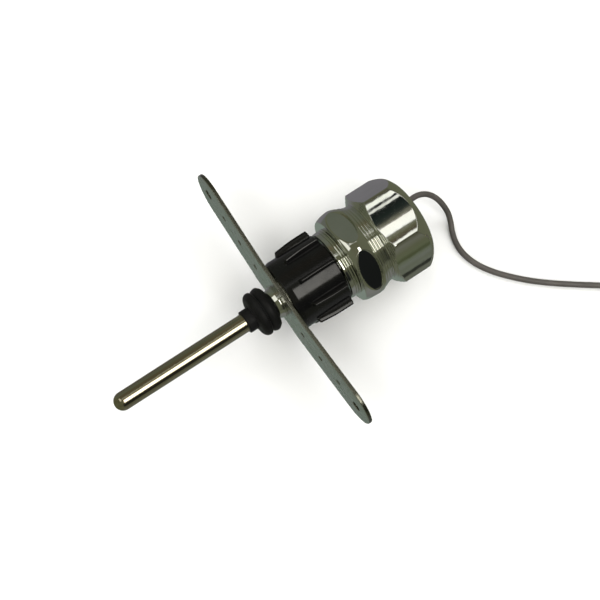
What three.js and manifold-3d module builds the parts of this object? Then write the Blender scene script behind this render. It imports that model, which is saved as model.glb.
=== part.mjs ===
// A flame sensor probe with a mounting strip, a ribbed clamp nut and a hexagon cap, in millimetres.
// The probe lies on a table, on one flat of its cap, with its lead put away in a coil beside it.
// X runs along the probe towards the cap, Y along the mounting strip, and Z up.
// The origin is on the table, under the middle of the probe.
// A station is a place along the probe, counted from the back face of the mounting strip.
import * as THREE from "three";
import { mergeVertices } from "three/addons/utils/BufferGeometryUtils.js";
import Module from "manifold-3d";

const wasm = await Module();
wasm.setup();

// Clearances, and the run of a cutter past what it cuts.
const fitGap = 0.15;
const faceGap = 0.3;
const overrun = 3;

// Sides of a turned piece that shows, and of one that is hidden inside.
const shownSides = 36;
const hiddenSides = 24;

// Sensing rod: a quarter inch bar with a domed tip and a threaded stud at its back.
const rodDiameter = 6.35;
const insertionLength = 63.5;
const studDiameter = 3.2;
const studLength = 10.4;

// Mounting strip: flat where it is clamped, with both wings set back a little.
const stripLength = 100;
const stripWidth = 19;
const stripThickness = 1.3;
const wingSetBack = THREE.MathUtils.degToRad(2);
const firstHoleOffset = 13.8;
const screwHoleInset = 7;
const pilotHoleDiameter = 2;
const screwHoleDiameter = 3.6;
const holesPerWing = 4;

// Insulating sleeve round the rod.
const sleeveWall = 0.6;

// Threaded nipple that passes through the strip.
const nippleWall = 0.6;
const nippleCollarDiameter = 10.6;
const nippleCollarLength = 3.3;
const nippleShankLength = 9.3;

// Rubber seal in front of the strip: a plain neck and two ribs.
const sealNeckDiameter = 8.2;
const sealNeckLength = 3;
const sealRibDiameter = 15.7;
const sealGrooveDiameter = 12.6;
const sealShoulderDiameter = 11;
const frontRibLength = 3.7;
const rearRibLength = 3.3;
const sealRearDiameter = 12.8;

// Clamp nut: a turned shell with long grip ribs.
const nutDiameter = 24.9;
const nutLength = 19.2;
const nutRibDiameter = 28.9;
const nutRibCount = 9;
const nutRibCrestWidth = 1.1;
const nutRibRootWidth = 2.1;
const nutRibStart = 5.2;
const nutRibFrontSlope = 1;
const nutRibBackSlope = 0.8;
const nutRibRise = 0.65;
const nutChamfer = 0.5;
const nutTravel = 0.5;
const nutTurn = THREE.MathUtils.degToRad(5.9);

// Washer that the clamp nut presses on the strip.
const clampWasherThickness = 1;
const clampWasherDiameter = 20;

// Gland body: spigot, ridged collar, barrel with five oval pads sunk in it, ridged neck and rear thread.
const spigotDiameter = 16;
const collarDiameter = 24.4;
const collarLength = 2.4;
const barrelDiameter = 32.6;
const barrelRound = 7.8;
const barrelHalfLength = 4.9;
const neckDiameter = 28.2;
const neckLength = 2.4;
const rearThreadDiameter = 24.2;
const rearThreadLength = 6.9;
const chamberDiameter = 18;
const ridgeDepth = 0.35;
const collarRidges = 3;
const neckRidges = 3;
const padCount = 5;
const padDistance = 14.1;
const padHalfWidth = 3.3;
const padHalfLength = 8;
const padFlareShare = 1.9;
const padTurn = THREE.MathUtils.degToRad(44.4);

// Rubber ring that keeps the clamp nut from shaking loose.
const nutRingSection = 1.2;
const nutRingOffset = 3.2;

// Insulating bush on the chamber's floor, and the terminal stack on the stud.
const bushThickness = 3.4;
const bushRecess = 1;
const lockWasherThickness = 0.6;
const lockWasherDiameter = 6.4;
const terminalNutAcrossFlats = 5.5;
const terminalNutThickness = 2.4;
const tagThickness = 0.8;
const tagRingDiameter = 6.4;
const tagTongueWidth = 2.6;
const tagBarrelOffset = 4.9;
const tagBarrelDiameter = 2.8;
const tagBarrelLength = 5;

// Hexagon cap, with the gasket in front of it.
const gasketThickness = 0.5;
const capAcrossFlats = 31.1;
const capCornerDiameter = 35.4;
const capFrontDiameter = 28.6;
const capFrontChamfer = 1.9;
const capShoulderRound = 6;
const capBoreDiameter = 11.5;
const capBoreChamfer = 0.6;
const capEndWall = 7.6;
const capTravel = 1.5;

// Cable seal in the mouth of the body, and the slip ring behind it.
const cableSealPlugLength = 0.9;
const cableSealFlangeDiameter = 21;
const cableSealFlangeThickness = 2;
const slipRingDiameter = 20;
const slipRingBoreDiameter = 11;
const slipRingThickness = 1.2;

// Lead: a thin limp wire. It drops out of the cap to the table and runs to its coil.
const leadDiameter = 2;
const leadRoute = [
  [49.85, 0, 15.55],
  [51.2, 0, 15.55],
  [53, 0.5, 15.55],
  [55, 1.75, 15.52],
  [57, 3.15, 15.46],
  [59, 4.25, 15.33],
  [61.4, 4.8, 15.08],
  [64.2, 4.8, 14.53],
  [66.8, 4.05, 13.35],
  [68.8, 2.7, 11.57],
  [70.3, 0.9, 9.4],
  [71.3, -1.4, 6.85],
  [71.7, -3.9, 4.35],
  [71.1, -6.6, 2.3],
  [70, -9.2, 1.3],
  [69, -12.3, 1.06],
  [68.6, -16, 1.06],
  [69.2, -20, 1.06],
  [70.9, -24.3, 1.06],
  [73.8, -28.8, 1.06],
  [77.7, -33.4, 1.06],
  [82.3, -38, 1.06],
  [87.5, -42.4, 1.06],
  [93, -46.6, 1.06],
  [98.8, -50.8, 1.08],
  [104.6, -55, 1.25],
  [110.4, -59.2, 1.5],
  [116.2, -63.4, 1.6],
];

// Coil: two layers, spiralling in below and out again above, held by a tie.
const turnGap = 0.45;
const coilTurns = 7.25;
const coilMiddleDiameter = 21;
const coilTailLength = 16;
const tieThickness = 0.3;
const tieWidth = 2.5;

// Push-on terminal at the end of the lead, with a sleeve over its barrel.
const connectorBarrelDiameter = 3;
const connectorBarrelLength = 6;
const connectorNeckWidth = 2.2;
const connectorNeckLength = 2;
const connectorBladeWidth = 6.4;
const connectorBladeLength = 8;
const connectorPlate = 0.8;
const connectorCurlDiameter = 2;
const connectorSleeveWall = 0.5;
const connectorSleeveLength = 9;

// Stations, from the front of the probe to its back.
const stripFront = -stripThickness;
const rodTip = stripFront - insertionLength;
const nippleFront = stripFront - nippleCollarLength;
const sealLength = sealNeckLength + frontRibLength + rearRibLength;
const sealFront = nippleFront - sealLength;
const nutShoulder = clampWasherThickness;
const nutBack = nutLength;
const bodyFront = clampWasherThickness + nutTravel + faceGap;
const collarFront = nutBack + nutTravel + faceGap;
const barrelFront = collarFront + collarLength;
const barrelMiddle = barrelFront + barrelHalfLength;
const neckFront = barrelMiddle + barrelHalfLength;
const neckBack = neckFront + neckLength;
const bodyBack = neckBack + rearThreadLength;
const chamberFloor = collarFront + ridgeDepth;
const rodShoulder = chamberFloor + bushRecess;
const bushBack = chamberFloor + bushThickness;
const innerNutFront = bushBack + lockWasherThickness;
const tagFront = innerNutFront + terminalNutThickness;
const outerNutFront = tagFront + tagThickness;
const tagBarrelBack = tagFront + tagBarrelLength;
const capFront = neckBack + gasketThickness;
const cableSealBack = bodyBack + cableSealFlangeThickness;
const slipRingBack = cableSealBack + slipRingThickness;
const capBack = slipRingBack + capEndWall;

// Radii that several pieces share.
const rodRadius = rodDiameter / 2;
const sleeveBore = rodRadius + fitGap;
const sleeveRadius = sleeveBore + sleeveWall;
const nippleBore = sleeveRadius + fitGap;
const nippleRadius = nippleBore + nippleWall;
const nippleSeat = nippleRadius + fitGap;
const studRadius = studDiameter / 2;
const studSeat = studRadius + fitGap;
const leadRadius = leadDiameter / 2;

const material = (colour, roughness, metalness) =>
  new THREE.MeshStandardMaterial({ color: colour, roughness, metalness });
const stainless = material(0xb9b3a2, 0.28, 1);
const zincPlate = material(0x9fa29c, 0.35, 1);
const chrome = material(0xc4c8bf, 0.1, 1);
const blackPlastic = material(0x17171a, 0.4, 0);
const blackRubber = material(0x1c1c1d, 0.75, 0);
const paleInsulator = material(0xe9e5da, 0.45, 0);
const brass = material(0xc0a45a, 0.3, 1);
const fibre = material(0x8c3b2a, 0.8, 0);
const leadCover = material(0x6f6862, 0.5, 0);
const sleeveVinyl = material(0x2b2b2e, 0.4, 0);

// A closed geometry as a solid that can be cut and joined.
function solid(geometry) {
  const bare = geometry.index ? geometry.toNonIndexed() : geometry.clone();
  for (const name of Object.keys(bare.attributes)) if (name !== "position") bare.deleteAttribute(name);
  const merged = mergeVertices(bare, 1e-4);
  return new wasm.Manifold(
    new wasm.Mesh({
      numProp: 3,
      vertProperties: merged.attributes.position.array,
      triVerts: new Uint32Array(merged.index.array),
    }),
  );
}

// A solid as the geometry of a mesh.
function geometryOf(shape) {
  const mesh = shape.getMesh();
  const geometry = new THREE.BufferGeometry();
  geometry.setAttribute("position", new THREE.BufferAttribute(new Float32Array(mesh.vertProperties), 3));
  geometry.setIndex(new THREE.BufferAttribute(new Uint32Array(mesh.triVerts), 1));
  geometry.computeVertexNormals();
  return geometry;
}

// Turns [station, radius] points round X. The points run from front to back along the outside.
function turnedBar(points, sides = shownSides) {
  const outline = points.map(([x, r]) => new THREE.Vector2(r, x));
  return new THREE.LatheGeometry(outline, sides).rotateZ(-Math.PI / 2);
}

// The same for a piece with a bore: outside points from front to back, then the bore's points.
function turnedShell(outside, bore, sides = shownSides) {
  const loop = [...outside, ...[...bore].reverse()];
  return turnedBar([...loop, loop[0]], sides);
}

const ring = (front, back, innerRadius, outerRadius, sides) =>
  turnedShell([[front, outerRadius], [back, outerRadius]], [[front, innerRadius], [back, innerRadius]], sides);
const disc = (front, back, radius, sides) =>
  turnedBar([[front, 0], [front, radius], [back, radius], [back, 0]], sides);

// A prism with flats all round, one of them facing Z.
function flatsPrism(front, back, acrossFlats, count) {
  const corner = acrossFlats / 2 / Math.cos(Math.PI / count);
  const geometry = new THREE.CylinderGeometry(corner, corner, back - front, count);
  return geometry.rotateZ(-Math.PI / 2).rotateX(Math.PI / count).translate((front + back) / 2, 0, 0);
}

// Extrudes a flat shape along X. The shape's y is Y, and its x runs down.
function alongX(shape, front, back, curveSegments = shownSides) {
  const geometry = new THREE.ExtrudeGeometry(shape, { depth: back - front, bevelEnabled: false, curveSegments });
  return geometry.rotateY(Math.PI / 2).translate(front, 0, 0);
}

// Points of a quarter turn, from the first angle to the second.
function arcPoints(x, r, radius, startAngle, endAngle, steps) {
  return Array.from({ length: steps + 1 }, (_, i) => {
    const angle = startAngle + ((endAngle - startAngle) * i) / steps;
    return [x + radius * Math.cos(angle), r + radius * Math.sin(angle)];
  });
}

function sensingRod() {
  const domeSteps = 6;
  const dome = arcPoints(rodTip + rodRadius, 0, rodRadius, Math.PI, Math.PI / 2, domeSteps);
  dome[0] = [rodTip, 0];
  const back = rodShoulder + studLength;
  return turnedBar([...dome, [rodShoulder, rodRadius], [rodShoulder, studRadius], [back, studRadius], [back, 0]]);
}

function insulatingSleeve() {
  return ring(nippleFront + faceGap, chamberFloor - faceGap, sleeveBore, sleeveRadius);
}

// A rib of the front seal as outline points, from its front foot to its back foot.
function sealRib(front, length, frontRadius, backRadius) {
  const steps = 6;
  const crest = sealRibDiameter / 2;
  return Array.from({ length: steps + 1 }, (_, i) => {
    const share = i / steps;
    const foot = frontRadius + (backRadius - frontRadius) * share;
    return [front + length * share, foot + (crest - foot) * Math.sin(Math.PI * share)];
  });
}

function frontSeal() {
  const ribFront = sealFront + sealNeckLength;
  const groove = ribFront + frontRibLength;
  const neckRadius = sealNeckDiameter / 2;
  const front = sealRib(ribFront, frontRibLength, sealShoulderDiameter / 2, sealGrooveDiameter / 2);
  const rear = sealRib(groove, rearRibLength, sealGrooveDiameter / 2, sealRearDiameter / 2);
  const outside = [[sealFront, neckRadius], [ribFront, neckRadius], ...front, ...rear.slice(1)];
  return turnedShell(outside, [[sealFront, sleeveBore], [nippleFront, sleeveBore]]);
}

function threadedNipple() {
  const collarRadius = nippleCollarDiameter / 2;
  const back = nippleShankLength;
  const outside = [
    [nippleFront, collarRadius],
    [stripFront, collarRadius],
    [stripFront, nippleRadius],
    [back, nippleRadius],
  ];
  return turnedShell(outside, [[nippleFront, nippleBore], [back, nippleBore]]);
}

// The strip's side view: flat under the clamp nut, then two straight wings set back.
function stripBand() {
  const knee = nutDiameter / 2;
  const reach = stripLength / 2 + overrun;
  const lean = (reach - knee) * Math.tan(wingSetBack);
  const side = new THREE.Shape();
  side.moveTo(0, -knee);
  side.lineTo(0, knee);
  side.lineTo(lean, reach);
  side.lineTo(lean - stripThickness, reach);
  side.lineTo(-stripThickness, knee);
  side.lineTo(-stripThickness, -knee);
  side.lineTo(lean - stripThickness, -reach);
  side.lineTo(lean, -reach);
  side.closePath();
  const width = stripWidth + 2 * overrun;
  return new THREE.ExtrudeGeometry(side, { depth: width, bevelEnabled: false }).translate(0, 0, -width / 2);
}

// The strip's front view: straight edges and round ends, with its holes.
function stripPlan() {
  const radius = stripWidth / 2;
  const straight = stripLength / 2 - radius;
  const plan = new THREE.Shape();
  plan.absarc(0, straight, radius, 0, Math.PI);
  plan.absarc(0, -straight, radius, Math.PI, 2 * Math.PI);
  plan.closePath();
  plan.holes.push(new THREE.Path().absarc(0, 0, nippleSeat, 0, 2 * Math.PI));
  const lastHoleOffset = stripLength / 2 - screwHoleInset;
  for (const side of [-1, 1])
    for (let i = 0; i < holesPerWing; i += 1) {
      const share = i / (holesPerWing - 1);
      const holeRadius = (share === 1 ? screwHoleDiameter : pilotHoleDiameter) / 2;
      const y = side * THREE.MathUtils.lerp(firstHoleOffset, lastHoleOffset, share);
      plan.holes.push(new THREE.Path().absarc(0, y, holeRadius, 0, 2 * Math.PI));
    }
  return plan;
}

function mountingStrip() {
  const planSteps = 10;
  const plan = alongX(stripPlan(), -stripThickness - overrun, 2 * overrun, planSteps);
  return geometryOf(solid(stripBand()).intersect(solid(plan)));
}

function clampWasher() {
  return ring(0, clampWasherThickness, nippleSeat, clampWasherDiameter / 2);
}

// Star shaped outline whose points are the grip ribs of the clamp nut.
function ribStar() {
  const root = nutDiameter / 2 - fitGap;
  const tip = nutRibDiameter / 2 + overrun;
  const rootAngle = nutRibRootWidth / 2 / root;
  const tipAngle = nutRibCrestWidth / 2 / tip;
  const star = new THREE.Shape();
  const at = (radius, angle) => [-radius * Math.cos(angle), -radius * Math.sin(angle)];
  for (let i = 0; i < nutRibCount; i += 1) {
    const middle = (i * 2 * Math.PI) / nutRibCount;
    if (i === 0) star.moveTo(...at(root, middle - rootAngle));
    else star.lineTo(...at(root, middle - rootAngle));
    star.lineTo(...at(tip, middle - tipAngle));
    star.lineTo(...at(tip, middle + tipAngle));
    star.lineTo(...at(root, middle + rootAngle));
  }
  star.closePath();
  return star;
}

function clampNut() {
  const radius = nutDiameter / 2;
  const crest = nutRibDiameter / 2;
  const foot = radius - nutRibRise;
  const shell = turnedBar([
    [faceGap, 0],
    [faceGap, radius - nutChamfer],
    [faceGap + nutChamfer, radius],
    [nutBack - nutChamfer, radius],
    [nutBack, radius - nutChamfer],
    [nutBack, 0],
  ]);
  const envelope = turnedBar([
    [nutRibStart, 0],
    [nutRibStart, foot],
    [nutRibStart + nutRibFrontSlope, crest - nutRibRise],
    [(nutRibStart + nutBack) / 2, crest],
    [nutBack - nutRibBackSlope, crest],
    [nutBack - nutChamfer, foot],
    [nutBack - nutChamfer, 0],
  ]);
  const ribs = solid(alongX(ribStar(), nutRibStart - overrun, nutBack + overrun)).intersect(solid(envelope));
  const recess = disc(faceGap - overrun, nutShoulder, clampWasherDiameter / 2 + fitGap);
  const bore = disc(faceGap - overrun, nutBack + overrun, spigotDiameter / 2 + fitGap);
  const made = solid(shell).add(ribs).subtract(solid(recess)).subtract(solid(bore));
  return geometryOf(made).rotateX(nutTurn);
}

// Outline points of a row of turned ridges, from front to back.
function ridges(front, back, radius, count) {
  const pitch = (back - front) / count;
  const points = [];
  for (let i = 0; i < count; i += 1) {
    const start = front + i * pitch;
    points.push([start, radius - ridgeDepth], [start + pitch / 2, radius]);
  }
  points.push([back, radius - ridgeDepth]);
  return points;
}

// Cutter of one pad: an oval with a level floor and flared sides.
function padCutter(turn) {
  const sides = 24;
  const height = barrelDiameter / 2 - padDistance + overrun;
  const cutter = new THREE.CylinderGeometry(padFlareShare, 1, height, sides).rotateX(Math.PI / 2);
  cutter.scale(padHalfWidth, padHalfLength, 1);
  return cutter.translate(barrelMiddle, 0, padDistance + height / 2).rotateX(turn);
}

function glandBody() {
  const spigot = spigotDiameter / 2;
  const thread = rearThreadDiameter / 2;
  const grooveFloor = spigot - nutRingSection;
  const grooveFront = bodyFront + nutRingOffset;
  const grooveBack = grooveFront + nutRingSection + 2 * fitGap;
  const barrelSteps = 12;
  const lowAngle = Math.asin(barrelHalfLength / barrelRound);
  const centre = barrelDiameter / 2 - barrelRound;
  const bulge = arcPoints(barrelMiddle, centre, barrelRound, Math.PI / 2 + lowAngle, Math.PI / 2 - lowAngle, barrelSteps);
  const outside = [
    [bodyFront, spigot],
    [grooveFront, spigot],
    [grooveFront, grooveFloor],
    [grooveBack, grooveFloor],
    [grooveBack, spigot],
    [collarFront, spigot],
    ...ridges(collarFront, barrelFront, collarDiameter / 2, collarRidges),
    ...bulge,
    ...ridges(neckFront, neckBack, neckDiameter / 2, neckRidges),
    [neckBack, thread],
    [bodyBack, thread],
  ];
  const nippleEnd = nippleShankLength + faceGap;
  const bore = [
    [bodyFront, nippleSeat],
    [nippleEnd, nippleSeat],
    [nippleEnd, nippleBore],
    [chamberFloor, nippleBore],
    [chamberFloor, chamberDiameter / 2],
    [bodyBack, chamberDiameter / 2],
  ];
  let made = solid(turnedShell(outside, bore));
  for (let i = 0; i < padCount; i += 1)
    made = made.subtract(solid(padCutter(padTurn + (i * 2 * Math.PI) / padCount)));
  return geometryOf(made);
}

function nutRing() {
  const half = nutRingSection / 2;
  const middle = bodyFront + nutRingOffset + fitGap + half;
  const sectionSides = 8;
  const torus = new THREE.TorusGeometry(spigotDiameter / 2 - half + fitGap / 2, half - fitGap / 2, sectionSides, shownSides);
  return torus.rotateY(Math.PI / 2).translate(middle, 0, 0);
}

function insulatingBush() {
  const outside = [[chamberFloor, chamberDiameter / 2 - fitGap], [bushBack, chamberDiameter / 2 - fitGap]];
  const bore = [
    [chamberFloor, sleeveBore],
    [rodShoulder, sleeveBore],
    [rodShoulder, studSeat],
    [bushBack, studSeat],
  ];
  return turnedShell(outside, bore, hiddenSides);
}

function lockWasher() {
  return ring(bushBack, innerNutFront, studSeat, lockWasherDiameter / 2, hiddenSides);
}

function terminalNut(front) {
  const back = front + terminalNutThickness;
  const blank = solid(flatsPrism(front, back, terminalNutAcrossFlats, 6));
  return geometryOf(blank.subtract(solid(disc(front - overrun, back + overrun, studSeat, hiddenSides))));
}

// A ring on the stud, with a tongue that carries the crimp barrel of the lead.
function ringTag() {
  const outline = new THREE.Shape().absarc(0, 0, tagRingDiameter / 2, 0, 2 * Math.PI);
  const tagSegments = 12;
  const plate = alongX(outline, tagFront, outerNutFront, tagSegments);
  const tongue = new THREE.BoxGeometry(tagThickness, tagBarrelOffset, tagTongueWidth);
  tongue.translate(tagFront + tagThickness / 2, tagBarrelOffset / 2, 0);
  const barrel = disc(tagFront, tagBarrelBack, tagBarrelDiameter / 2, hiddenSides).translate(0, tagBarrelOffset, 0);
  const hole = disc(tagFront - overrun, outerNutFront + overrun, studSeat, hiddenSides);
  return geometryOf(solid(plate).add(solid(tongue)).add(solid(barrel)).subtract(solid(hole)));
}

function cableSeal() {
  const plugFront = bodyBack - cableSealPlugLength;
  const plug = chamberDiameter / 2 - fitGap;
  const flange = cableSealFlangeDiameter / 2;
  const outside = [[plugFront, plug], [bodyBack, plug], [bodyBack, flange], [cableSealBack, flange]];
  const bore = leadRadius + fitGap;
  return turnedShell(outside, [[plugFront, bore], [cableSealBack, bore]], hiddenSides);
}

function slipRing() {
  return ring(cableSealBack, slipRingBack, slipRingBoreDiameter / 2, slipRingDiameter / 2, hiddenSides);
}

function capGasket() {
  return ring(neckBack, capFront, rearThreadDiameter / 2 + fitGap, neckDiameter / 2 - ridgeDepth);
}

function hexCap() {
  const shoulderSteps = 8;
  const corner = capCornerDiameter / 2;
  const shoulder = arcPoints(
    capBack - capShoulderRound,
    corner - capShoulderRound,
    capShoulderRound,
    Math.PI / 2,
    0,
    shoulderSteps,
  );
  const outside = [[capFront, capFrontDiameter / 2], [capFront + capFrontChamfer, corner], ...shoulder];
  const thread = rearThreadDiameter / 2 + fitGap;
  const bore = capBoreDiameter / 2;
  const inside = [
    [capFront, thread],
    [slipRingBack, thread],
    [slipRingBack, bore],
    [capBack - capBoreChamfer, bore],
    [capBack, bore + capBoreChamfer],
  ];
  const blank = solid(turnedShell(outside, inside));
  return geometryOf(blank.intersect(solid(flatsPrism(capFront - overrun, capBack + overrun, capAcrossFlats, 6))));
}

const smoothCurve = (points) =>
  new THREE.CatmullRomCurve3(points.map((point) => new THREE.Vector3(...point)), false, "centripetal");

// A round tube along a smooth curve through points.
function tube(points, radius, steps) {
  const sectionSides = 8;
  const section = new THREE.Shape();
  for (let i = 0; i < sectionSides; i += 1) {
    const angle = (i * 2 * Math.PI) / sectionSides;
    const corner = [radius * Math.cos(angle), radius * Math.sin(angle)];
    if (i === 0) section.moveTo(...corner);
    else section.lineTo(...corner);
  }
  section.closePath();
  return new THREE.ExtrudeGeometry(section, { steps, extrudePath: smoothCurve(points), bevelEnabled: false });
}

// The lead inside the body, from the tag's barrel to the back of the cable seal.
function innerLead() {
  const start = tagBarrelBack + faceGap;
  const sealStart = bodyBack - cableSealPlugLength;
  const span = sealStart - start;
  const bendShares = [
    [0, 1],
    [0.12, 1],
    [0.3, 0.86],
    [0.5, 0.5],
    [0.7, 0.14],
    [0.88, 0],
    [1, 0],
  ];
  const points = bendShares.map(([along, aside]) => [start + span * along, tagBarrelOffset * aside, 0]);
  points.push([(sealStart + cableSealBack) / 2, 0, 0], [cableSealBack, 0, 0]);
  const steps = 16;
  return tube(points, leadRadius, steps);
}

// Height of the coil's first layer, with the tie under it, and the distance between its layers.
const turnPitch = leadDiameter + turnGap;
const coilBase = leadRadius + faceGap + tieThickness;

// The connector lies on its sleeve.
const connectorBore = connectorBarrelDiameter / 2 + fitGap;
const connectorHeight = connectorBore + connectorSleeveWall;

// The coil's radius swings from the outside in and out again. A turn counts from where the lead comes in.
const coilOuterRadius = coilMiddleDiameter / 2 + (turnPitch * coilTurns) / 4;
const coilRadiusAt = (turn) => coilOuterRadius - turnPitch * (coilTurns / 2 - Math.abs(turn - coilTurns / 2));

// Points of the coil's centre line. It starts at the origin along X, and turns right.
function coilPath() {
  const stepsPerTurn = 24;
  const points = [new THREE.Vector3(0, 0, coilBase)];
  const steps = Math.round(coilTurns * stepsPerTurn);
  for (let i = 0; i <= steps; i += 1) {
    const turn = i / stepsPerTurn;
    const climb = THREE.MathUtils.smoothstep(turn - coilTurns / 2, -1 / 4, 1 / 4);
    const radius = coilRadiusAt(turn);
    const angle = turn * 2 * Math.PI;
    const x = leadDiameter + radius * Math.sin(angle);
    points.push(new THREE.Vector3(x, radius * Math.cos(angle) - coilOuterRadius, coilBase + climb * turnPitch));
  }
  const last = points[points.length - 1].clone();
  const tailSteps = 8;
  const tailRamp = coilTailLength - leadDiameter;
  for (let i = 1; i <= tailSteps; i += 1) {
    const run = (tailRamp * i) / tailSteps;
    const drop = THREE.MathUtils.smoothstep(run, leadDiameter, tailRamp) * (last.z - connectorHeight);
    points.push(new THREE.Vector3(last.x, last.y - run, last.z - drop));
  }
  points.push(new THREE.Vector3(last.x, last.y - coilTailLength, connectorHeight));
  return points;
}

// Least gap between stretches of a tube that lie more than a few diameters apart along it.
function leastGap(points, diameter) {
  const along = [0];
  for (let i = 1; i < points.length; i += 1) along.push(along[i - 1] + points[i].distanceTo(points[i - 1]));
  let least = Infinity;
  for (let i = 0; i < points.length; i += 1)
    for (let j = i + 1; j < points.length; j += 1)
      if (along[j] - along[i] > 2 * Math.PI * diameter) least = Math.min(least, points[i].distanceTo(points[j]));
  return { gap: least - diameter, length: along[along.length - 1] };
}

// One closed tube along points that lie almost level.
function woundTube(points, radius) {
  const sectionSides = 6;
  const vertices = [];
  const faces = [];
  const up = new THREE.Vector3(0, 0, 1);
  points.forEach((point, i) => {
    const before = points[Math.max(i - 1, 0)];
    const after = points[Math.min(i + 1, points.length - 1)];
    const along = after.clone().sub(before).normalize();
    const side = up.clone().cross(along).normalize();
    const over = along.clone().cross(side);
    for (let k = 0; k < sectionSides; k += 1) {
      const angle = (k * 2 * Math.PI) / sectionSides;
      const corner = point.clone();
      corner.addScaledVector(side, radius * Math.cos(angle)).addScaledVector(over, radius * Math.sin(angle));
      vertices.push(...corner.toArray());
    }
  });
  const ringStart = (i) => i * sectionSides;
  for (let i = 0; i + 1 < points.length; i += 1)
    for (let k = 0; k < sectionSides; k += 1) {
      const next = (k + 1) % sectionSides;
      const [a, b] = [ringStart(i) + k, ringStart(i) + next];
      const [c, d] = [ringStart(i + 1) + k, ringStart(i + 1) + next];
      faces.push(a, b, d, a, d, c);
    }
  const end = ringStart(points.length - 1);
  for (let k = 1; k + 1 < sectionSides; k += 1) {
    faces.push(0, k + 1, k);
    faces.push(end, end + k, end + k + 1);
  }
  const geometry = new THREE.BufferGeometry();
  geometry.setAttribute("position", new THREE.Float32BufferAttribute(vertices, 3));
  geometry.setIndex(faces);
  geometry.computeVertexNormals();
  return geometry;
}

function leadRun() {
  const steps = 62;
  return tube(leadRoute, leadRadius, steps);
}

// A strap round the bundle, an eighth of a turn from where the lead comes in.
function leadTie() {
  const columns = 4;
  const turn = 1 / 8;
  const halfWidth = ((columns - 1) * turnPitch) / 2 + leadRadius + faceGap;
  const halfHeight = turnPitch / 2 + leadRadius + faceGap;
  const outline = (margin) => {
    const corner = leadRadius + margin;
    const [w, h] = [halfWidth + margin, halfHeight + margin];
    const path = new THREE.Path();
    path.absarc(w - corner, h - corner, corner, 0, Math.PI / 2);
    path.absarc(corner - w, h - corner, corner, Math.PI / 2, Math.PI);
    path.absarc(corner - w, corner - h, corner, Math.PI, 1.5 * Math.PI);
    path.absarc(w - corner, corner - h, corner, 1.5 * Math.PI, 2 * Math.PI);
    return path.getPoints(3);
  };
  const strap = new THREE.Shape(outline(tieThickness));
  strap.holes.push(new THREE.Path(outline(0)));
  const geometry = new THREE.ExtrudeGeometry(strap, { depth: tieWidth, bevelEnabled: false });
  const angle = turn * 2 * Math.PI;
  const middle = coilRadiusAt(turn) - ((columns - 1) * turnPitch) / 2;
  geometry.translate(0, 0, -tieWidth / 2).rotateX(Math.PI / 2).rotateZ(Math.PI / 2 - angle);
  const x = leadDiameter + middle * Math.sin(angle);
  return geometry.translate(x, middle * Math.cos(angle) - coilOuterRadius, coilBase + turnPitch / 2);
}

// Receptacle with two curled edges, a neck and a crimp barrel. It starts at its barrel's end, along X.
function leadConnector() {
  const curl = connectorCurlDiameter / 2;
  const bladeFront = connectorBarrelLength + connectorNeckLength;
  const barrel = disc(0, connectorBarrelLength, connectorBarrelDiameter / 2, hiddenSides);
  const neckLength = connectorNeckLength + connectorBarrelDiameter;
  const neck = new THREE.BoxGeometry(neckLength, connectorNeckWidth, connectorPlate);
  const plateHeight = connectorPlate / 2 - curl;
  neck.translate(bladeFront - neckLength / 2, 0, plateHeight);
  const plate = new THREE.BoxGeometry(connectorBladeLength, connectorBladeWidth, connectorPlate);
  plate.translate(bladeFront + connectorBladeLength / 2, 0, plateHeight);
  let made = solid(barrel).add(solid(neck)).add(solid(plate));
  for (const side of [-1, 1]) {
    const edge = disc(bladeFront, bladeFront + connectorBladeLength, curl, hiddenSides);
    made = made.add(solid(edge.translate(0, (side * connectorBladeWidth) / 2, 0)));
  }
  return geometryOf(made);
}

function connectorSleeve() {
  const back = connectorBarrelLength;
  return ring(back - connectorSleeveLength, back, connectorBore, connectorHeight, hiddenSides);
}

const part = new THREE.Group();
const probe = new THREE.Group();
part.add(probe);

function place(group, name, geometry, look) {
  const mesh = new THREE.Mesh(geometry, look);
  mesh.name = name;
  group.add(mesh);
}

place(probe, "sensing_rod", sensingRod(), stainless);
place(probe, "rod_sleeve", insulatingSleeve(), paleInsulator);
place(probe, "front_seal", frontSeal(), blackRubber);
place(probe, "threaded_nipple", threadedNipple(), chrome);
place(probe, "mounting_strip", mountingStrip(), zincPlate);
place(probe, "clamp_washer", clampWasher(), fibre);
place(probe, "clamp_nut", clampNut(), blackPlastic);
place(probe, "nut_ring", nutRing(), blackRubber);
place(probe, "gland_body", glandBody(), chrome);
place(probe, "insulating_bush", insulatingBush(), paleInsulator);
place(probe, "lock_washer", lockWasher(), zincPlate);
place(probe, "inner_terminal_nut", terminalNut(innerNutFront), brass);
place(probe, "ring_tag", ringTag(), brass);
place(probe, "outer_terminal_nut", terminalNut(outerNutFront), brass);
place(probe, "inner_lead", innerLead(), leadCover);
place(probe, "cable_seal", cableSeal(), blackRubber);
place(probe, "slip_ring", slipRing(), paleInsulator);
place(probe, "cap_gasket", capGasket(), chrome);
place(probe, "hex_cap", hexCap(), chrome);

// The probe stands on the table with its middle over the origin.
const reach = new THREE.Box3().setFromObject(probe);
probe.position.set(-(reach.min.x + reach.max.x) / 2, 0, -reach.min.z);

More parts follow.
